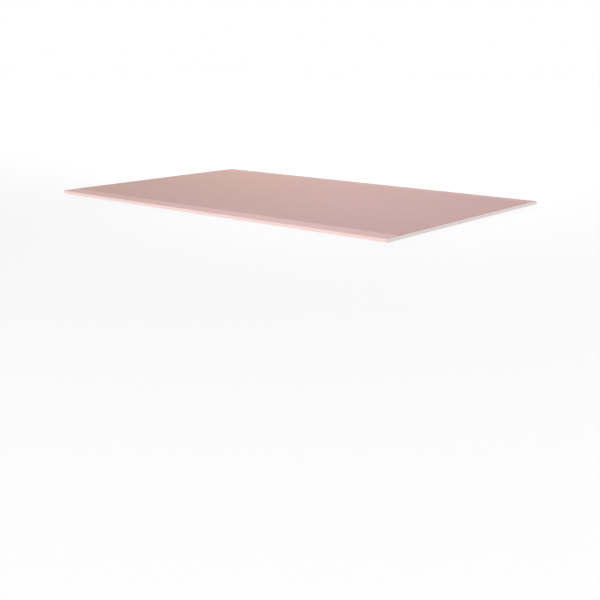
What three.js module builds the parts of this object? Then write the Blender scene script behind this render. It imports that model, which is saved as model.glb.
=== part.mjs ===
// A sheet of fire-rated plasterboard with tapered long edges, lying face up. Millimetres, +Z up.
//
// The board is poured in one pass between two paper liners, so it is one solid: a constant section,
// drawn across the width, and run along the length. The face liner covers the top, wraps round both
// long edges and folds under; the back liner laps over the folds. The ends are cut square.
//
// Origin: middle of the back, on the surface the sheet lies on. +X runs along the length, +Y across
// the width and +Z out of the face.

import * as THREE from "three";

// The sheet
const LENGTH = 2000;
const WIDTH = 1250;
const THICKNESS = 15;

// The taper along each long edge, which sinks the jointing tape and filler below the face
const TAPER_WIDTH = 80; // from the long edge to where the full thickness starts
const TAPER_DEPTH = 2.2; // how far the face has dropped at the long edge
const TAPER_BREAK_RADIUS = 300; // the soft break between the face and the taper

// The paper-wrapped long edges
const EDGE_CROWN = 0.5; // how far the middle of the edge swells past its arrises
const FACE_ARRIS_RADIUS = 1.8;
const BACK_ARRIS_RADIUS = 1.4;

// The back, where the back liner laps over the folded face liner
const LINER_THICKNESS = 0.35;
const SEAM_INSET = 14; // from the long edge to the back liner's own edge

const ARC_DIVISIONS = 5; // each arc of the section gets twice as many facets

const FACE_LINER_COLOUR = 0xcdaca8;

// The swollen side of a long edge: one shallow arc whose outermost point is at half the width.
function edgeCrown(low, high) {
  const halfHeight = (high - low) / 2;
  const radius = (halfHeight ** 2 + EDGE_CROWN ** 2) / (2 * EDGE_CROWN);
  return { y: WIDTH / 2 - radius, z: (low + high) / 2, radius };
}

// The arris where the crown turns onto a flat at height `flat`: a small arc that touches both.
function arris(crown, flat, radius) {
  const towardsMiddle = Math.sign(crown.z - flat);
  const z = flat + towardsMiddle * radius;
  const reach = Math.sqrt((crown.radius - radius) ** 2 - (z - crown.z) ** 2);
  return { y: crown.y + reach, z, radius, crownAngle: Math.atan2(z - crown.z, reach) };
}

// The board's section on the +Y side, from the middle of the back round the edge to the face.
function halfSection() {
  const foldedBack = LINER_THICKNESS;
  const taperLow = THICKNESS - TAPER_DEPTH;
  const crown = edgeCrown(foldedBack, taperLow);
  const backArris = arris(crown, foldedBack, BACK_ARRIS_RADIUS);
  const faceArris = arris(crown, taperLow, FACE_ARRIS_RADIUS);

  const taperStart = WIDTH / 2 - TAPER_WIDTH;
  const taperSlope = Math.atan2(TAPER_DEPTH, faceArris.y - taperStart);
  const breakReach = TAPER_BREAK_RADIUS * Math.tan(taperSlope / 2);

  const path = new THREE.Path();
  path.moveTo(0, 0);
  path.lineTo(WIDTH / 2 - SEAM_INSET, 0);
  path.lineTo(WIDTH / 2 - SEAM_INSET, foldedBack);
  path.absarc(backArris.y, backArris.z, backArris.radius, -Math.PI / 2, backArris.crownAngle);
  path.absarc(crown.y, crown.z, crown.radius, backArris.crownAngle, 0);
  path.absarc(crown.y, crown.z, crown.radius, 0, faceArris.crownAngle);
  path.absarc(faceArris.y, faceArris.z, faceArris.radius, faceArris.crownAngle, Math.PI / 2);
  path.absarc(
    taperStart - breakReach,
    THICKNESS - TAPER_BREAK_RADIUS,
    TAPER_BREAK_RADIUS,
    Math.PI / 2 - taperSlope,
    Math.PI / 2,
  );
  path.lineTo(0, THICKNESS);
  return path.getPoints(ARC_DIVISIONS);
}

// The whole section: the +Y half, then the same half mirrored and followed back down.
function section() {
  const right = halfSection();
  const left = right.slice(1, -1).map((point) => new THREE.Vector2(-point.x, point.y));
  return new THREE.Shape([...right, ...left.reverse()]);
}

function drywallSheet() {
  const geometry = new THREE.ExtrudeGeometry(section(), { depth: LENGTH, bevelEnabled: false });
  geometry.translate(0, 0, -LENGTH / 2);
  const faceLiner = new THREE.MeshStandardMaterial({
    color: FACE_LINER_COLOUR,
    roughness: 0.9,
    metalness: 0,
  });
  const sheet = new THREE.Mesh(geometry, faceLiner);
  sheet.name = "drywall_sheet";
  // Turned so that the section's own x and y lie along Y and Z, and its extrusion along X.
  const acrossWidth = new THREE.Vector3(0, 1, 0);
  const throughBoard = new THREE.Vector3(0, 0, 1);
  const alongLength = new THREE.Vector3(1, 0, 0);
  const turn = new THREE.Matrix4().makeBasis(acrossWidth, throughBoard, alongLength);
  sheet.quaternion.setFromRotationMatrix(turn);
  return sheet;
}

const board = new THREE.Group();
board.add(drywallSheet());

export default board;
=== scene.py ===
"""Dresses one sheet of fire-rated plasterboard that lies face up on a plain pale floor.

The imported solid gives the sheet's place and overall size. Three pieces stand for it, because these
are what the eye tells apart on a real board: the pink face liner, which wraps the long edges and
folds under; the gypsum core, which shows at the square-cut ends; and the grey-ivory back liner,
which laps over the folds. Lengths are in metres, +X along the sheet, +Y across it, +Z out of the face.
"""

import logging
import math
from abc import ABC, abstractmethod
from collections.abc import Iterable
from dataclasses import dataclass
from enum import Enum
from typing import Any, NamedTuple

import bmesh
import bpy
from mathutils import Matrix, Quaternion, Vector, noise

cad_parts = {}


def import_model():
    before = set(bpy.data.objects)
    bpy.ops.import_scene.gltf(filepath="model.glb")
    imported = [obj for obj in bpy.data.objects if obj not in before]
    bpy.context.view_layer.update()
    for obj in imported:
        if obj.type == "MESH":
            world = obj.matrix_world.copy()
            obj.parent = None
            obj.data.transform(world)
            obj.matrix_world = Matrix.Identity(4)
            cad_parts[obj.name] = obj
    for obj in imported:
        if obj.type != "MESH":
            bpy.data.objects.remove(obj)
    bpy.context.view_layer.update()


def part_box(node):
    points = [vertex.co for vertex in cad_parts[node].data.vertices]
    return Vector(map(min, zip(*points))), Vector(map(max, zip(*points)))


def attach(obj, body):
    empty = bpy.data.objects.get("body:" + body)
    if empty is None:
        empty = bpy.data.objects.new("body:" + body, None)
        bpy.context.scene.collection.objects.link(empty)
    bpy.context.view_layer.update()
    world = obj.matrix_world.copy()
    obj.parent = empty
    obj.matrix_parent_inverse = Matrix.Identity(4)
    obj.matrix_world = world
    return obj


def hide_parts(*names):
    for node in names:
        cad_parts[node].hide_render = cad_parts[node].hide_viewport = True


LOG = logging.getLogger("drywall_sheet")

MM = 0.001
TOUCH = 0.01 * MM  # a vertex this near to a plane lies on it
WELD = 0.001 * MM  # vertices this near to each other are one
NODE = "drywall_sheet"
BODY = "root"


# ---------------------------------------------------------------------------------------------
# The section
# ---------------------------------------------------------------------------------------------


@dataclass(frozen=True)
class Arc:
    """A round stretch of the section, anticlockwise from start to end, in radians from +Y."""

    y: float
    z: float
    radius: float
    start: float
    end: float

    def point(self, angle: float, inset: float = 0.0) -> tuple[float, float]:
        """Gives the point at an angle, on the arc or on one drawn inside it.

        Args:
            angle: Direction from the centre, in radians from +Y towards +Z.
            inset: How far inside the arc the point lies.

        Returns:
            The point's y and z.
        """
        reach = self.radius - inset
        return self.y + reach * math.cos(angle), self.z + reach * math.sin(angle)


class EdgeArcs(NamedTuple):
    """The round stretches of the section's +Y half, from the back round the edge to the face."""

    back: Arc
    crown: Arc
    face: Arc
    taper_break: Arc


@dataclass(frozen=True)
class BoardSection:
    """The sizes of a tapered-edge board and the round stretches that they lead to."""

    length: float
    width: float
    thickness: float
    taper_width: float = 80 * MM  # from the long edge to where the full thickness starts
    taper_depth: float = 2.2 * MM  # how far the face has dropped at the long edge
    break_radius: float = 300 * MM  # the soft break between the face and the taper
    edge_crown: float = 0.5 * MM  # how far the middle of the edge swells past its arrises
    face_arris: float = 1.8 * MM
    back_arris: float = 1.4 * MM
    liner: float = 0.35 * MM  # the thickness of either paper
    seam_inset: float = 14 * MM  # from the long edge to the back liner's own edge
    fold_width: float = 27 * MM  # from the long edge to where the folded face liner ends
    bond: float = 0.02 * MM  # how far the gypsum soaks into either paper

    @classmethod
    def of_node(cls, node: str) -> "BoardSection":
        """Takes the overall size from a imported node.

        Args:
            node: The node's name in the frame.

        Returns:
            The section of a board of that size.
        """
        low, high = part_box(node)
        size = high - low
        return cls(length=size.x, width=size.y, thickness=size.z)

    @property
    def taper_start(self) -> float:
        """Distance from the middle of the sheet to where a taper starts."""
        return self.width / 2 - self.taper_width

    @property
    def taper_end(self) -> float:
        """Distance from the middle of the sheet to where a taper turns onto the long edge."""
        return self.edge_arcs().face.y

    def edge_arcs(self) -> EdgeArcs:
        """Works out the round stretches of the +Y half.

        Returns:
            The back arris, the crown, the face arris and the taper break.
        """
        low, high = self.liner, self.thickness - self.taper_depth
        half = (high - low) / 2
        radius = (half**2 + self.edge_crown**2) / (2 * self.edge_crown)
        crown = Arc(self.width / 2 - radius, (low + high) / 2, radius, 0.0, 0.0)

        back = self._arris(crown, low + self.back_arris, self.back_arris)
        face = self._arris(crown, high - self.face_arris, self.face_arris)
        upright = math.pi / 2
        slope = math.atan2(self.taper_depth, face.y - self.taper_start)
        return EdgeArcs(
            back=Arc(back.y, back.z, back.radius, -upright, back.start),
            crown=Arc(crown.y, crown.z, crown.radius, back.start, face.start),
            face=Arc(face.y, face.z, face.radius, face.start, upright),
            taper_break=Arc(
                self.taper_start - self.break_radius * math.tan(slope / 2),
                self.thickness - self.break_radius,
                self.break_radius,
                upright - slope,
                upright,
            ),
        )

    @staticmethod
    def _arris(crown: Arc, z: float, radius: float) -> Arc:
        """Places a small arc inside the crown so that the two touch.

        Args:
            crown: The shallow arc of the long edge.
            z: Height of the small arc's centre.
            radius: Radius of the small arc.

        Returns:
            The small arc, with both its angles at the point where it touches the crown.
        """
        reach = math.sqrt((crown.radius - radius) ** 2 - (z - crown.z) ** 2)
        touch = math.atan2(z - crown.z, reach)
        return Arc(crown.y + reach, z, radius, touch, touch)


class SectionPen:
    """Draws one line across the board, stretch by stretch."""

    ARC_FACETS = 8
    CROWN_FACETS = 12

    def __init__(self, bm: bmesh.types.BMesh, x: float, y: float, z: float) -> None:
        """Puts the pen down.

        Args:
            bm: The mesh to draw in.
            x: Where along the length the line is drawn.
            y: Start across the width.
            z: Start above the floor.
        """
        self.bm = bm
        self.x = x
        self.tip = bmesh.ops.create_vert(bm, co=(x, y, z))["vert"][0]

    def line(self, y: float, z: float) -> None:
        """Runs straight to a point.

        Args:
            y: The point's place across the width.
            z: The point's height.
        """
        stride = Vector((self.x, y, z)) - self.tip.co
        if stride.length < WELD:
            return
        self.tip = bmesh.ops.extrude_vert_indiv(self.bm, verts=[self.tip])["verts"][0]
        bmesh.ops.translate(self.bm, verts=[self.tip], vec=stride)

    def arc(self, arc: Arc, inset: float, facets: int) -> None:
        """Runs straight to the start of an arc and then round it.

        Args:
            arc: The arc to follow.
            inset: How far inside the arc to stay.
            facets: How many straight pieces stand for the arc.
        """
        self.line(*arc.point(arc.start, inset))
        spun = bmesh.ops.spin(
            self.bm,
            geom=[self.tip],
            cent=(self.x, arc.y, arc.z),
            axis=(1, 0, 0),
            angle=arc.end - arc.start,
            steps=facets,
            use_duplicate=False,
        )
        self.tip = spun["geom_last"][0]

    def round_the_edge(self, section: BoardSection, inset: float) -> None:
        """Follows the long edge from the back, over the taper, to the middle of the face.

        Args:
            section: The board's section.
            inset: How far inside the board's skin the line lies.
        """
        arcs = section.edge_arcs()
        self.arc(arcs.back, inset, self.ARC_FACETS)
        self.arc(arcs.crown, inset, self.CROWN_FACETS)
        self.arc(arcs.face, inset, self.ARC_FACETS)
        self.arc(arcs.taper_break, inset, self.ARC_FACETS)
        self.line(0.0, section.thickness - inset)


# ---------------------------------------------------------------------------------------------
# Mesh work shared by the pieces
# ---------------------------------------------------------------------------------------------


def everything(bm: bmesh.types.BMesh) -> list[Any]:
    """Gives all of a mesh's vertices, edges and faces in one list."""
    return [*bm.verts, *bm.edges, *bm.faces]


def new_verts(made: dict[str, list[Any]]) -> list[bmesh.types.BMVert]:
    """Picks the vertices out of what an extrude operator gives back."""
    return [part for part in made["geom"] if isinstance(part, bmesh.types.BMVert)]


def slice_at(bm: bmesh.types.BMesh, normal: tuple[float, float, float], places: Iterable[float]) -> None:
    """Cuts a mesh, without parting it, by a set of parallel planes.

    Args:
        bm: The mesh.
        normal: Unit vector across the planes.
        places: Each plane's distance from the origin along the normal.
    """
    for place in places:
        bmesh.ops.bisect_plane(
            bm,
            geom=everything(bm),
            dist=TOUCH,
            plane_co=Vector(normal) * place,
            plane_no=normal,
        )


def even_places(reach: float, stride: float) -> list[float]:
    """Gives evenly spaced places from -reach to reach, both included.

    Args:
        reach: Distance of the outermost place from the middle.
        stride: Largest distance between neighbours.

    Returns:
        The places, in order.
    """
    count = math.ceil(2 * reach / stride)
    return [reach * (2 * i / count - 1) for i in range(count + 1)]


def end_places(length: float) -> list[float]:
    """Gives cuts along the length that crowd towards both ends, where the mesh is uneven.

    Args:
        length: The sheet's length.

    Returns:
        The places, measured from the middle.
    """
    first, growth, count = 1.5 * MM, 3.0, 5
    gaps = [first * growth**i for i in range(count)]
    reaches = [length / 2 - sum(gaps[: i + 1]) for i in range(count)]
    return [*(-reach for reach in reaches), *reaches]


def uneven(u: float, v: float, grain: float, seed: float) -> float:
    """Gives smooth noise, mostly between -1 and 1, that is the same each run.

    Args:
        u: Place along one direction of a surface.
        v: Place along the other.
        grain: Size of the noise's lumps.
        seed: Picks one field of noise.

    Returns:
        The noise.
    """
    raw = noise.noise(Vector((u / grain, v / grain, seed)))  # mostly within a half of zero
    return 2.0 * raw


class CutEnd(Enum):
    """The two square-cut ends, by the direction in which each one faces."""

    START = -1
    FINISH = 1

    def verts(self, bm: bmesh.types.BMesh, length: float) -> list[bmesh.types.BMVert]:
        """Finds the vertices on this end.

        Args:
            bm: The mesh.
            length: The sheet's length.

        Returns:
            The vertices.
        """
        return [v for v in bm.verts if abs(v.co.x * self.value - length / 2) < TOUCH]


def to_object(bm: bmesh.types.BMesh, name: str, sharp_above: float) -> bpy.types.Object:
    """Turns a finished mesh into a shown object that is smooth but for its real corners.

    Args:
        bm: The mesh, which is freed.
        name: The object's name.
        sharp_above: Angle in degrees over which an edge stays sharp.

    Returns:
        The object.
    """
    bmesh.ops.remove_doubles(bm, verts=bm.verts[:], dist=WELD)
    bmesh.ops.recalc_face_normals(bm, faces=bm.faces[:])
    mesh = bpy.data.meshes.new(name)
    bm.to_mesh(mesh)
    bm.free()
    mesh.shade_smooth()
    mesh.set_sharp_from_angle(angle=math.radians(sharp_above))
    piece = bpy.data.objects.new(name, mesh)
    bpy.context.scene.collection.objects.link(piece)
    return piece


# ---------------------------------------------------------------------------------------------
# Finishes
# ---------------------------------------------------------------------------------------------


def linear(colour: str) -> tuple[float, float, float, float]:
    """Turns an sRGB hex colour into the linear one that shaders take.

    Args:
        colour: Six hex digits.

    Returns:
        Linear red, green and blue, and an alpha of 1.
    """
    channels = [int(colour[i : i + 2], 16) / 255 for i in (0, 2, 4)]
    turned = [c / 12.92 if c <= 0.04045 else ((c + 0.055) / 1.055) ** 2.4 for c in channels]
    return (*turned, 1.0)


def add_node(
    tree: bpy.types.NodeTree, kind: str, inputs: dict[str | int, Any] | None = None, **settings: Any
) -> bpy.types.Node:
    """Adds a node with its settings, and sets or links its inputs.

    Args:
        tree: The node tree.
        kind: The node's type.
        inputs: Socket name or number to a value, or to the output that feeds it.
        **settings: The node's own properties.

    Returns:
        The node.
    """
    node = tree.nodes.new(kind)
    for name, value in settings.items():
        setattr(node, name, value)
    for key, value in (inputs or {}).items():
        if isinstance(value, bpy.types.NodeSocket):
            tree.links.new(value, node.inputs[key])
        else:
            node.inputs[key].default_value = value
    return node


@dataclass(frozen=True)
class Grain:
    """One scale of unevenness in a surface: its lumps' size along each axis, and how strong it is."""

    along: float
    across: float
    through: float
    amount: float
    detail: float = 2.0
    seed: float = 0.0
    turn: float = 0.0  # degrees about +Z

    def field(self, tree: bpy.types.NodeTree, place: bpy.types.NodeSocket) -> bpy.types.NodeSocket:
        """Adds the grain's noise.

        Args:
            tree: The node tree.
            place: The coordinates to read.

        Returns:
            A value that wanders about 0.5.
        """
        spread = add_node(
            tree,
            "ShaderNodeMapping",
            {
                "Vector": place,
                "Location": (self.seed, self.seed, self.seed),
                "Rotation": (0, 0, math.radians(self.turn)),
                "Scale": (self.along, self.across, self.through),
            },
            vector_type="TEXTURE",
        )
        lumps = {"Vector": spread.outputs["Vector"], "Scale": 1.0, "Detail": self.detail}
        return add_node(tree, "ShaderNodeTexNoise", lumps).outputs["Fac"]


def add_grains(
    tree: bpy.types.NodeTree,
    place: bpy.types.NodeSocket,
    grains: Iterable[Grain],
    middle: bpy.types.NodeSocket | float,
) -> bpy.types.NodeSocket:
    """Adds up several scales of unevenness about a middle value.

    Args:
        tree: The node tree.
        place: The coordinates to read.
        grains: The scales to add up.
        middle: The value where every grain is at its average.

    Returns:
        The sum.
    """
    total = middle
    for grain in grains:
        centred = add_node(
            tree, "ShaderNodeMath", {0: grain.field(tree, place), 1: 0.5}, operation="SUBTRACT"
        )
        total = add_node(
            tree,
            "ShaderNodeMath",
            {0: centred.outputs[0], 1: 2 * grain.amount, 2: total},
            operation="MULTIPLY_ADD",
        ).outputs[0]
    return total


def add_where(
    tree: bpy.types.NodeTree,
    cover: bpy.types.NodeSocket,
    amount: float,
    value: bpy.types.NodeSocket,
) -> bpy.types.NodeSocket:
    """Changes a value where a surface has marks.

    Args:
        tree: The node tree.
        cover: 1 on a mark and 0 off it.
        amount: What a mark adds to the value.
        value: The value without marks.

    Returns:
        The value with marks.
    """
    changed = {0: cover, 1: amount, 2: value}
    return add_node(tree, "ShaderNodeMath", changed, operation="MULTIPLY_ADD").outputs[0]


@dataclass(frozen=True)
class Fibres:
    """Hairs that lie in a few directions in a sheet of paper, each one a ridge in stretched noise."""

    length: float
    width: float
    turns: tuple[float, ...]  # degrees about +Z, one for each direction
    shade: float  # what a hair adds to the tone
    relief: float  # what it adds to the height, in millimetres
    level: float = 0.66  # the noise at which a hair starts
    slope: float = 0.06  # how much more noise makes it whole

    def cover(self, tree: bpy.types.NodeTree, place: bpy.types.NodeSocket) -> bpy.types.NodeSocket:
        """Adds a factor that is 1 on a hair and 0 between hairs.

        Args:
            tree: The node tree.
            place: The coordinates to read.

        Returns:
            The factor.
        """
        cover: bpy.types.NodeSocket | float = 0.0
        for seed, turn in enumerate(self.turns):
            hair = Grain(self.length, self.width, self.width, 1.0, detail=1.0, seed=seed, turn=turn)
            ridge = hair.field(tree, place)
            share = add_node(
                tree,
                "ShaderNodeMapRange",
                {"Value": ridge, "From Min": self.level, "From Max": self.level + self.slope},
            )
            cover = add_node(
                tree, "ShaderNodeMath", {0: share.outputs["Result"], 1: cover}, operation="MAXIMUM"
            ).outputs[0]
        return cover


@dataclass(frozen=True)
class Pits:
    """Small round holes of mixed size, scattered through a material, darkened inside with painted shade.
    """

    spacing: float
    radius: float  # of the widest hole
    shade: float  # painted shade: how much a hole darkens the tone
    relief: float  # what it adds to the height, in millimetres

    def cover(self, tree: bpy.types.NodeTree, place: bpy.types.NodeSocket) -> bpy.types.NodeSocket:
        """Adds a factor that is 1 inside a hole and 0 outside.

        Args:
            tree: The node tree.
            place: The coordinates to read.

        Returns:
            The factor.
        """
        cells = add_node(
            tree, "ShaderNodeTexVoronoi", {"Vector": place, "Scale": 1 / self.spacing}, feature="F1"
        )
        size = add_node(tree, "ShaderNodeSeparateColor", {"Color": cells.outputs["Color"]})
        widest = self.radius / self.spacing
        rim = add_node(
            tree, "ShaderNodeMath", {0: size.outputs["Red"], 1: widest}, operation="MULTIPLY"
        )
        hollow = add_node(
            tree,
            "ShaderNodeMapRange",
            {
                "Value": cells.outputs["Distance"],
                "From Min": rim.outputs[0],
                "From Max": 0.0,
            },
            interpolation_type="SMOOTHSTEP",
        )
        return hollow.outputs["Result"]


@dataclass(frozen=True)
class MattFinish:
    """A dull, uneven surface: paper or plaster."""

    name: str
    colour: str
    drift_colour: str
    drift: Grain
    tones: tuple[Grain, ...]
    reliefs: tuple[Grain, ...]
    marks: Fibres | Pits
    roughness: float
    ior: float
    specular: float

    def material(self) -> bpy.types.Material:
        """Builds the material.

        Returns:
            The material, on a Principled shader.
        """
        material = bpy.data.materials.new(self.name)
        material.use_nodes = True
        tree = material.node_tree
        tree.nodes.clear()
        place = add_node(tree, "ShaderNodeTexCoord").outputs["Object"]
        cover = self.marks.cover(tree, place)
        tone = add_where(tree, cover, self.marks.shade, add_grains(tree, place, self.tones, 1.0))
        relief = add_where(tree, cover, self.marks.relief, add_grains(tree, place, self.reliefs, 0.0))
        toned = add_node(
            tree,
            "ShaderNodeHueSaturation",
            {"Color": self.base_colour(tree, place), "Value": tone},
        )
        bump = add_node(tree, "ShaderNodeBump", {"Height": relief, "Distance": MM, "Strength": 1.0})
        shader = add_node(
            tree,
            "ShaderNodeBsdfPrincipled",
            {
                "Base Color": toned.outputs["Color"],
                "Normal": bump.outputs["Normal"],
                "Roughness": self.roughness,
                "IOR": self.ior,
                "Specular IOR Level": self.specular,
            },
        )
        add_node(tree, "ShaderNodeOutputMaterial", {"Surface": shader.outputs["BSDF"]})
        return material

    def base_colour(
        self, tree: bpy.types.NodeTree, place: bpy.types.NodeSocket
    ) -> bpy.types.NodeSocket:
        """Adds the slow drift between the finish's two close colours.

        Args:
            tree: The node tree.
            place: The coordinates to read.

        Returns:
            The colour.
        """
        share = add_grains(tree, place, (self.drift,), 0.5)
        mixed = add_node(
            tree,
            "ShaderNodeMix",
            {0: share, 6: linear(self.colour), 7: linear(self.drift_colour)},
            data_type="RGBA",
        )
        return mixed.outputs[2]


@dataclass(frozen=True)
class Zone:
    """The part of a surface that lies past a border and has a colour of its own."""

    measure: bpy.types.NodeSocket  # what is compared with the border
    border: float
    softness: float  # half of the stretch over which the zone fades in
    colour: str
    strength: bpy.types.NodeSocket | float = 1.0  # share of the colour that shows

    def laid_over(
        self, tree: bpy.types.NodeTree, colour: bpy.types.NodeSocket
    ) -> bpy.types.NodeSocket:
        """Adds the zone's colour over another one.

        Args:
            tree: The node tree.
            colour: The colour outside the zone.

        Returns:
            The colour of the whole surface.
        """
        share = add_node(
            tree,
            "ShaderNodeMapRange",
            {
                "Value": self.measure,
                "From Min": self.border - self.softness,
                "From Max": self.border + self.softness,
                "To Max": self.strength,
            },
            interpolation_type="SMOOTHSTEP",
        )
        mixed = add_node(
            tree,
            "ShaderNodeMix",
            {0: share.outputs["Result"], 6: colour, 7: linear(self.colour)},
            data_type="RGBA",
        )
        return mixed.outputs[2]


@dataclass(frozen=True)
class FaceLinerFinish(MattFinish):
    """Pink liner board, paler on the tapers as pressed paper and painted highlight, and grey where cut.
    """

    section: BoardSection
    # Pressed paper and painted highlight: the paler colour that the tapers are given.
    pressed_and_highlight_colour: str = "e9c5c2"
    edge_colour: str = "d8c0bc"
    cut_colour: str = "c2aaa0"
    soft_band: float = 14 * MM  # half of the stretch over which a pale taper band fades out
    near_press_and_highlight: float = 0.86  # share of the pale taper colour on the near taper, more as painted highlight as if it faced the light
    far_press_and_highlight: float = 0.30  # and on the far one, less as if it faced away from the light
    press_and_highlight_drift: Grain = Grain(1900 * MM, 1300 * MM, 1300 * MM, 1.05, detail=1.0, seed=52.3)
    band_wander: Grain = Grain(240 * MM, 1.0, 1.0, 6 * MM, seed=4.4)
    cut_rim: float = 0.22 * MM  # how far in from a cut end the paper shows its grey inner plies
    soft_rim: float = 0.08 * MM

    def base_colour(
        self, tree: bpy.types.NodeTree, place: bpy.types.NodeSocket
    ) -> bpy.types.NodeSocket:
        """Lays the pale tapers (pressed, with painted highlight), wrapped edges and cut rims over the
        plain liner.

        Args:
            tree: The node tree.
            place: The coordinates to read.

        Returns:
            The colour.
        """
        board = self.section
        parts = add_node(tree, "ShaderNodeSeparateXYZ", {"Vector": place})
        across = add_node(tree, "ShaderNodeMath", {0: parts.outputs["Y"]}, operation="ABSOLUTE")
        along = add_node(tree, "ShaderNodeMath", {0: parts.outputs["X"]}, operation="ABSOLUTE")
        taper = add_grains(tree, place, (self.band_wander,), across.outputs[0])
        # The pale taper band is pressed paper and painted highlight, the near one painted lighter as if
        # lit.
        press_and_highlight_share = add_grains(tree, place, (self.press_and_highlight_drift,), self.side_press_and_highlight(tree, parts.outputs["Y"]))
        edge = board.taper_end + board.face_arris / 2
        end = board.length / 2 - self.cut_rim
        zones = (
            Zone(taper, board.taper_start, self.soft_band, self.pressed_and_highlight_colour, press_and_highlight_share),
            Zone(across.outputs[0], edge, board.face_arris, self.edge_colour),
            Zone(along.outputs[0], end, self.soft_rim, self.cut_colour),
        )
        colour = super().base_colour(tree, place)
        for zone in zones:
            colour = zone.laid_over(tree, colour)
        return colour

    def side_press_and_highlight(self, tree: bpy.types.NodeTree, across: bpy.types.NodeSocket) -> bpy.types.NodeSocket:
        """Adds the share of pale taper colour on each side, with painted highlight stronger on the near
        side.

        Args:
            tree: The node tree.
            across: Place across the width.

        Returns:
            The share of the pale taper colour that shows.
        """
        inputs = {
            "Value": across,
            "From Min": -self.section.taper_start,
            "From Max": self.section.taper_start,
            "To Min": self.near_press_and_highlight,
            "To Max": self.far_press_and_highlight,
        }
        return add_node(tree, "ShaderNodeMapRange", inputs).outputs["Result"]


def face_liner_finish(section: BoardSection) -> FaceLinerFinish:
    """Multi-ply liner board, dyed pink in its top ply: matt, faintly cloudy, with long faint streaks
    from the paper machine and a tooth that only shows close to.

    Args:
        section: The board's section, which says where the tapers are pressed and painted paler.

    Returns:
        The finish.
    """
    return FaceLinerFinish(
        name="pink_liner_board",
        colour="d4afad",
        drift_colour="d3b0a6",
        drift=Grain(1900 * MM, 1300 * MM, 1300 * MM, 2.0, detail=1.0, seed=83.8),
        tones=(
            Grain(900 * MM, 22 * MM, 22 * MM, 0.016, seed=3.1),
            # Faint clouds where the core has dried unevenly under the paper.
            Grain(60 * MM, 38 * MM, 38 * MM, 0.020, seed=7.7),
            Grain(26 * MM, 20 * MM, 20 * MM, 0.036, seed=5.9),
            # Fibre flocs are 2 to 6 mm across on a real liner; these are drawn at 10 mm so as to show.
            Grain(11 * MM, 9 * MM, 9 * MM, 0.030, detail=4.0, seed=1.3),
        ),
        reliefs=(
            Grain(160 * MM, 70 * MM, 70 * MM, 0.05, seed=5.0),
            Grain(2.4 * MM, 1.6 * MM, 1.6 * MM, 0.03, seed=9.0),
        ),
        # Hairs in such board are 0.03 mm thick; these are drawn ten times as thick so as to show.
        marks=Fibres(5 * MM, 0.35 * MM, turns=(12, -35, 70), shade=-0.07, relief=0.01),
        roughness=0.86,
        ior=1.45,
        specular=0.25,
        section=section,
    )


def gypsum_finish() -> MattFinish:
    """Set gypsum, foamed and cut across: chalky off-white, with small voids left by the foam.

    Returns:
        The finish.
    """
    return MattFinish(
        name="foamed_gypsum",
        # The faint pink in this off-white is painted reflection from the pink liner.
        colour="efe6e2",
        drift_colour="eae0db",
        drift=Grain(60 * MM, 60 * MM, 20 * MM, 0.6),
        tones=(
            Grain(6 * MM, 6 * MM, 6 * MM, 0.03, seed=2.0),
            Grain(0.8 * MM, 0.8 * MM, 0.8 * MM, 0.07, detail=4.0, seed=6.0),
        ),
        reliefs=(Grain(0.8 * MM, 0.8 * MM, 0.8 * MM, 0.10, detail=4.0, seed=6.0),),
        # Foam voids are 0.2 to 0.6 mm across; these are drawn up to 1.1 mm so as to show.
        # The voids are also darkened inside with painted shade.
        marks=Pits(1.7 * MM, 0.55 * MM, shade=-0.30, relief=-0.35),
        roughness=0.95,
        ior=1.52,
        specular=0.2,
    )


def back_liner_finish() -> MattFinish:
    """Undyed recycled liner board: grey-ivory, more mottled and hairier than the face.

    Returns:
        The finish.
    """
    return MattFinish(
        name="grey_ivory_liner_board",
        colour="cbc2b2",
        drift_colour="c5bcb0",
        drift=Grain(420 * MM, 260 * MM, 260 * MM, 0.5),
        tones=(
            Grain(900 * MM, 18 * MM, 18 * MM, 0.025, seed=4.2),
            Grain(50 * MM, 30 * MM, 30 * MM, 0.025, seed=8.1),
            Grain(9 * MM, 6 * MM, 6 * MM, 0.060, detail=4.0, seed=2.6),
        ),
        reliefs=(Grain(2.6 * MM, 1.6 * MM, 1.6 * MM, 0.04, seed=9.5),),
        # Hairs in such board are 0.03 mm thick; these are drawn ten times as thick so as to show.
        marks=Fibres(6 * MM, 0.4 * MM, turns=(8, -28, 55, 95), shade=-0.12, relief=0.015),
        roughness=0.9,
        ior=1.45,
        specular=0.2,
    )


# ---------------------------------------------------------------------------------------------
# The board's pieces
# ---------------------------------------------------------------------------------------------


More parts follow.
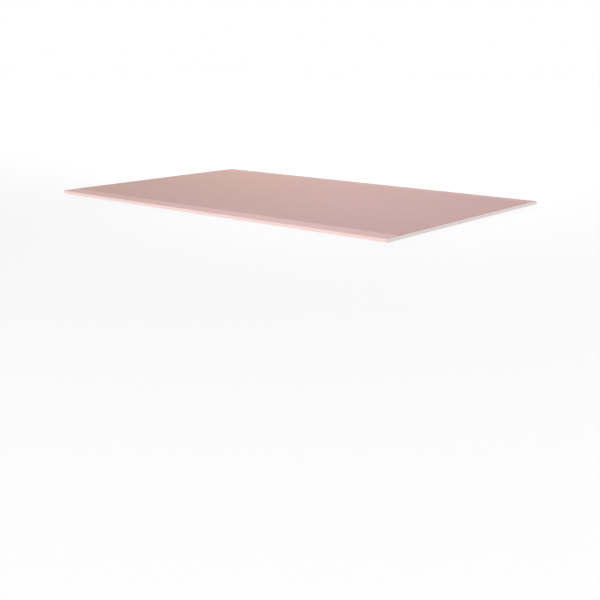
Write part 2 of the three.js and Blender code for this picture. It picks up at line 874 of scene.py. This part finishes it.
@dataclass
class BoardPiece(ABC):
    """One of the materials that make up the board, as a mesh of its own."""

    KNIFE_WAVER = 13 * MM  # how far apart the lumps of the knife's wander lie

    section: BoardSection
    name: str
    slot: str
    finish: MattFinish

    @abstractmethod
    def build(self) -> bpy.types.Object:
        """Models the piece.

        Returns:
            The piece, not yet dressed.
        """

    def make(self) -> bpy.types.Object:
        """Models the piece, dresses it and ties it to the frame.

        Returns:
            The piece.
        """
        piece = self.build()
        piece.data.materials.append(self.finish.material())
        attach(piece, BODY)
        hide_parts(NODE)
        LOG.info("%s: %d faces", self.name, len(piece.data.polygons))
        return piece

    def run_the_length(self, bm: bmesh.types.BMesh) -> None:
        """Extrudes the edges drawn at the start of the sheet to its finish, and mirrors them.

        Args:
            bm: The mesh, which holds the +Y half of an open line across the board.
        """
        made = bmesh.ops.extrude_edge_only(bm, edges=bm.edges[:])
        bmesh.ops.translate(bm, verts=new_verts(made), vec=(self.section.length, 0, 0))
        bmesh.ops.mirror(bm, geom=everything(bm), axis="Y", merge_dist=WELD)

    @staticmethod
    def face_outwards(bm: bmesh.types.BMesh, up: float) -> None:
        """Turns an open skin so that it faces away from the core.

        Args:
            bm: The mesh.
            up: 1 where the middle of the skin should face up, and -1 where it should face down.
        """
        bmesh.ops.recalc_face_normals(bm, faces=bm.faces[:])
        middle = min(bm.faces, key=lambda face: abs(face.calc_center_median().y))
        if middle.normal.z * up < 0:
            bmesh.ops.reverse_faces(bm, faces=bm.faces[:])

    def fray_ends(self, bm: bmesh.types.BMesh, depth: float, seed: float) -> None:
        """Leaves the knife's slight wander on both cut ends.

        Args:
            bm: The mesh.
            depth: How far the wander reaches into the sheet.
            seed: Picks one field of noise.
        """
        for end in CutEnd:
            for vert in end.verts(bm, self.section.length):
                waver = uneven(vert.co.y, vert.co.z, self.KNIFE_WAVER, seed + end.value)
                share = min(max((1.0 + waver) / 2, 0.0), 1.0)
                vert.co.x -= end.value * depth * share


@dataclass
class FaceLiner(BoardPiece):
    """The pink liner: over the face, down the tapers, round both long edges and folded under."""

    step_across: float = 4 * MM
    fray: float = 0.12 * MM  # how far the knife's wander reaches in

    def build(self) -> bpy.types.Object:
        """Models the liner as one wrapped sheet of even thickness.

        Returns:
            The liner.
        """
        board = self.section
        bm = bmesh.new()
        pen = SectionPen(bm, -board.length / 2, board.width / 2 - board.fold_width, board.liner)
        pen.round_the_edge(board, inset=0.0)
        self.run_the_length(bm)
        slice_at(bm, (0, 1, 0), even_places(board.taper_end - board.face_arris, self.step_across))
        slice_at(bm, (1, 0, 0), end_places(board.length))
        self.face_outwards(bm, up=1)
        self.fray_ends(bm, self.fray, seed=1.0)
        bmesh.ops.solidify(bm, geom=bm.faces[:], thickness=board.liner)
        return to_object(bm, self.name, sharp_above=35)


@dataclass
class BackLiner(BoardPiece):
    """The grey-ivory liner: over the back and a little way over the folds of the face liner."""

    step_across: float = 8 * MM
    step_along: float = 40 * MM
    seam_wander: float = 0.5 * MM
    seam_waver: float = 260 * MM  # how far apart the lumps of that wander lie
    fray: float = 0.12 * MM  # how far the knife's wander reaches in

    def build(self) -> bpy.types.Object:
        """Models the liner as a flat sheet whose long edges wander slightly.

        Returns:
            The liner.
        """
        board = self.section
        seam = board.width / 2 - board.seam_inset
        bm = bmesh.new()
        pen = SectionPen(bm, -board.length / 2, seam, 0.0)
        pen.line(0.0, 0.0)
        self.run_the_length(bm)
        slice_at(bm, (0, 1, 0), even_places(seam - self.step_across, self.step_across))
        slice_at(bm, (1, 0, 0), even_places(board.length / 2 - self.step_along, self.step_along))
        slice_at(bm, (1, 0, 0), end_places(board.length))
        for vert in bm.verts:
            if abs(vert.co.y) > seam - TOUCH:
                side = math.copysign(1.0, vert.co.y)
                waver = uneven(vert.co.x, 0.0, self.seam_waver, seed=3.0 * side)
                vert.co.y += self.seam_wander * waver
        self.face_outwards(bm, up=-1)
        self.fray_ends(bm, self.fray, seed=5.0)
        bmesh.ops.solidify(bm, geom=bm.faces[:], thickness=board.liner)
        return to_object(bm, self.name, sharp_above=35)


@dataclass
class GypsumCore(BoardPiece):
    """The gypsum between the liners, seen only at the cut ends, where it sits just behind the paper."""

    step_across: float = 1.25 * MM
    layers: int = 12  # cuts through the thickness, which give the ends points to crumble at
    recess: float = 0.15 * MM  # how far behind the paper the gypsum stays at least
    crumble: float = 0.55 * MM  # how much further a loss of 1 takes it
    mean_loss: float = 0.25
    coarse_grain: float = 9 * MM
    coarse_loss: float = 0.45
    fine_grain: float = 3.5 * MM
    fine_loss: float = 0.3

    def build(self) -> bpy.types.Object:
        """Models the core as a solid bar of the board's section with slightly crumbled ends.

        Returns:
            The core.
        """
        board = self.section
        inset = board.liner - board.bond
        fold = board.width / 2 - board.fold_width
        bm = bmesh.new()
        pen = SectionPen(bm, -board.length / 2, 0.0, inset)
        pen.line(fold, inset)
        pen.line(fold, board.liner + inset)
        pen.round_the_edge(board, inset)
        bmesh.ops.mirror(bm, geom=everything(bm), axis="Y", merge_dist=WELD)
        bmesh.ops.contextual_create(bm, geom=bm.edges[:])
        slice_at(bm, (0, 1, 0), (-fold, fold))
        slice_at(bm, (0, 1, 0), even_places(board.taper_end - board.face_arris, self.step_across))
        lowest, highest = board.liner + inset, board.thickness - board.taper_depth - inset
        rise = (highest - lowest) / self.layers
        slice_at(bm, (0, 0, 1), (lowest + rise * (i + 0.5) for i in range(self.layers)))
        # Crumbling bends the faces of the ends, so they are compact triangles before it starts.
        bmesh.ops.triangulate(bm, faces=bm.faces[:], quad_method="BEAUTY", ngon_method="BEAUTY")
        made = bmesh.ops.extrude_face_region(bm, geom=bm.faces[:])
        bmesh.ops.translate(bm, verts=new_verts(made), vec=(board.length, 0, 0))
        slice_at(bm, (1, 0, 0), end_places(board.length))
        self.crumble_ends(bm)
        return to_object(bm, self.name, sharp_above=50)

    def crumble_ends(self, bm: bmesh.types.BMesh) -> None:
        """Sets the cut faces back behind the paper, unevenly, with a few deeper pits.

        Args:
            bm: The mesh.
        """
        for end in CutEnd:
            for vert in end.verts(bm, self.section.length):
                coarse = uneven(vert.co.y, vert.co.z, self.coarse_grain, seed=11.0 * end.value)
                fine = uneven(vert.co.y, vert.co.z, self.fine_grain, seed=17.0 * end.value)
                loss = self.mean_loss + self.coarse_loss * coarse + self.fine_loss * fine
                vert.co.x -= end.value * (self.recess + self.crumble * max(0.0, loss))


# ---------------------------------------------------------------------------------------------
# The studio
# ---------------------------------------------------------------------------------------------


@dataclass(frozen=True)
class BroadLight:
    """A wide light, so far off that it shines alike on the whole sheet."""

    name: str
    strength: float
    azimuth: float  # degrees from -Y towards +X
    elevation: float  # degrees above the floor
    softness: float  # degrees across
    gleams: bool = True  # whether it adds sheen as well as plain light

    def hang(self) -> None:
        """Hangs the light and turns it to the sheet."""
        lamp = bpy.data.lights.new(self.name, "SUN")
        lamp.energy = self.strength
        lamp.angle = math.radians(self.softness)
        azimuth, elevation = math.radians(self.azimuth), math.radians(self.elevation)
        towards = Vector(
            (
                math.sin(azimuth) * math.cos(elevation),
                -math.cos(azimuth) * math.cos(elevation),
                math.sin(elevation),
            )
        )
        light = bpy.data.objects.new(self.name, lamp)
        light.rotation_mode = "QUATERNION"
        light.rotation_quaternion = (-towards).to_track_quat("-Z", "Y")
        light.visible_glossy = self.gleams
        bpy.context.scene.collection.objects.link(light)


@dataclass(frozen=True)
class SoftBox:
    """A square lamp that hangs level and that the camera doesn't see."""

    name: str
    place: tuple[float, float, float]
    watts: float
    span: float = 0.8

    def hang(self) -> None:
        """Hangs the lamp, which faces straight down."""
        lamp = bpy.data.lights.new(self.name, "AREA")
        lamp.shape = "SQUARE"
        lamp.size = self.span
        lamp.energy = self.watts
        box = bpy.data.objects.new(self.name, lamp)
        box.location = self.place
        box.visible_camera = False
        bpy.context.scene.collection.objects.link(box)


@dataclass(frozen=True)
class Studio:
    """A plain pale floor under a white surround, two broad low lights, two soft boxes and the camera."""

    floor_span: float = 60.0
    floor_drop: float = 0.2 * MM
    floor_colour: str = "f2f2f2"
    near_lift: float = 0.235  # what the floor gains towards white in the middle
    far_lift: float = 0.40  # and from lift_reach outwards
    lift_reach: float = 4.5
    surround: float = 0.32  # strength of the surround as a light
    broad_lights: tuple[BroadLight, ...] = (
        BroadLight("key", strength=2.95, azimuth=22.0, elevation=19.6, softness=25.0),
        BroadLight("fill", strength=1.30, azimuth=225.0, elevation=6.0, softness=12.0, gleams=False),
    )
    soft_boxes: tuple[SoftBox, ...] = (
        SoftBox("beyond_left_corner", (-0.72, 1.40, 1.65), 11.8),
        SoftBox("over_near_half", (0.52, -0.16, 1.40), 2.8),
    )
    camera_place: tuple[float, float, float] = (2.913, -3.442, 0.673)
    camera_aim: tuple[float, float, float] = (1.287, -1.486, 0.0)
    camera_roll: float = 0.127  # degrees about the line of sight
    focal_length: float = 55.0  # in millimetres

    def build(self) -> None:
        """Sets up floor, surround, light and camera."""
        self.lay_floor()
        self.hang_surround()
        for lamp in (*self.broad_lights, *self.soft_boxes):
            lamp.hang()
        self.set_camera()
        bpy.context.scene.view_settings.view_transform = "Standard"

    @staticmethod
    def seen_directly(tree: bpy.types.NodeTree) -> bpy.types.NodeSocket:
        """Adds a factor that is 1 where a ray comes from the camera, a gloss or a clear surface.

        Args:
            tree: The node tree.

        Returns:
            The factor.
        """
        ray = add_node(tree, "ShaderNodeLightPath")
        factor = ray.outputs["Is Camera Ray"]
        for kind in ("Is Glossy Ray", "Is Transmission Ray"):
            factor = add_node(
                tree, "ShaderNodeMath", {0: factor, 1: ray.outputs[kind]}, operation="MAXIMUM"
            ).outputs[0]
        return factor

    def lay_floor(self) -> None:
        """Lays the floor just under the sheet, lifted towards white where it is seen directly."""
        bm = bmesh.new()
        bmesh.ops.create_grid(bm, x_segments=1, y_segments=1, size=self.floor_span / 2)
        bmesh.ops.translate(bm, verts=bm.verts[:], vec=(0, 0, -self.floor_drop))
        floor = to_object(bm, "floor", sharp_above=35)
        material = bpy.data.materials.new("pale_studio_floor")
        material.use_nodes = True
        tree = material.node_tree
        tree.nodes.clear()
        matt = add_node(tree, "ShaderNodeBsdfDiffuse", {"Color": linear(self.floor_colour)})
        place = add_node(tree, "ShaderNodeTexCoord").outputs["Object"]
        reach = add_node(tree, "ShaderNodeVectorMath", {0: place}, operation="LENGTH")
        lift = add_node(
            tree,
            "ShaderNodeMapRange",
            {
                "Value": reach.outputs["Value"],
                "From Max": self.lift_reach,
                "To Min": self.near_lift,
                "To Max": self.far_lift,
            },
            interpolation_type="SMOOTHSTEP",
        )
        share = add_node(
            tree,
            "ShaderNodeMath",
            {0: self.seen_directly(tree), 1: lift.outputs["Result"]},
            operation="MULTIPLY",
        )
        glow = add_node(tree, "ShaderNodeEmission", {"Strength": share.outputs[0]})
        both = add_node(
            tree, "ShaderNodeAddShader", {0: matt.outputs["BSDF"], 1: glow.outputs["Emission"]}
        )
        add_node(tree, "ShaderNodeOutputMaterial", {"Surface": both.outputs["Shader"]})
        floor.data.materials.append(material)

    def hang_surround(self) -> None:
        """Makes the surround plain white to look at and a dimmer white as a light."""
        world = bpy.data.worlds.new("white_surround")
        world.use_nodes = True
        bpy.context.scene.world = world
        tree = world.node_tree
        tree.nodes.clear()
        white = (1.0, 1.0, 1.0, 1.0)
        lit = add_node(tree, "ShaderNodeBackground", {"Color": white, "Strength": self.surround})
        seen = add_node(tree, "ShaderNodeBackground", {"Color": white, "Strength": 1.0})
        both = add_node(
            tree,
            "ShaderNodeMixShader",
            {0: self.seen_directly(tree), 1: lit.outputs[0], 2: seen.outputs[0]},
        )
        add_node(tree, "ShaderNodeOutputWorld", {"Surface": both.outputs[0]})

    def set_camera(self) -> None:
        """Stands the camera off the near right corner, looking down along the sheet."""
        lens = bpy.data.cameras.new("camera")
        lens.lens = self.focal_length
        camera = bpy.data.objects.new("camera", lens)
        camera.location = self.camera_place
        sight = Vector(self.camera_aim) - camera.location
        roll = Quaternion((0, 0, 1), math.radians(self.camera_roll))
        camera.rotation_mode = "QUATERNION"
        camera.rotation_quaternion = sight.to_track_quat("-Z", "Y") @ roll
        bpy.context.scene.collection.objects.link(camera)
        bpy.context.scene.camera = camera


def main() -> None:
    """Loads the frame, makes the studio and the board's pieces."""
    logging.basicConfig(level=logging.INFO, format="%(name)s: %(message)s")
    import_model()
    Studio().build()
    section = BoardSection.of_node(NODE)
    pieces = (
        GypsumCore(section, "gypsum_core", "gypsum_core", gypsum_finish()),
        FaceLiner(section, "face_liner", "face_paper", face_liner_finish(section)),
        BackLiner(section, "back_liner", "back_paper", back_liner_finish()),
    )
    for piece in pieces:
        piece.make()


if __name__ == "__main__":
    main()
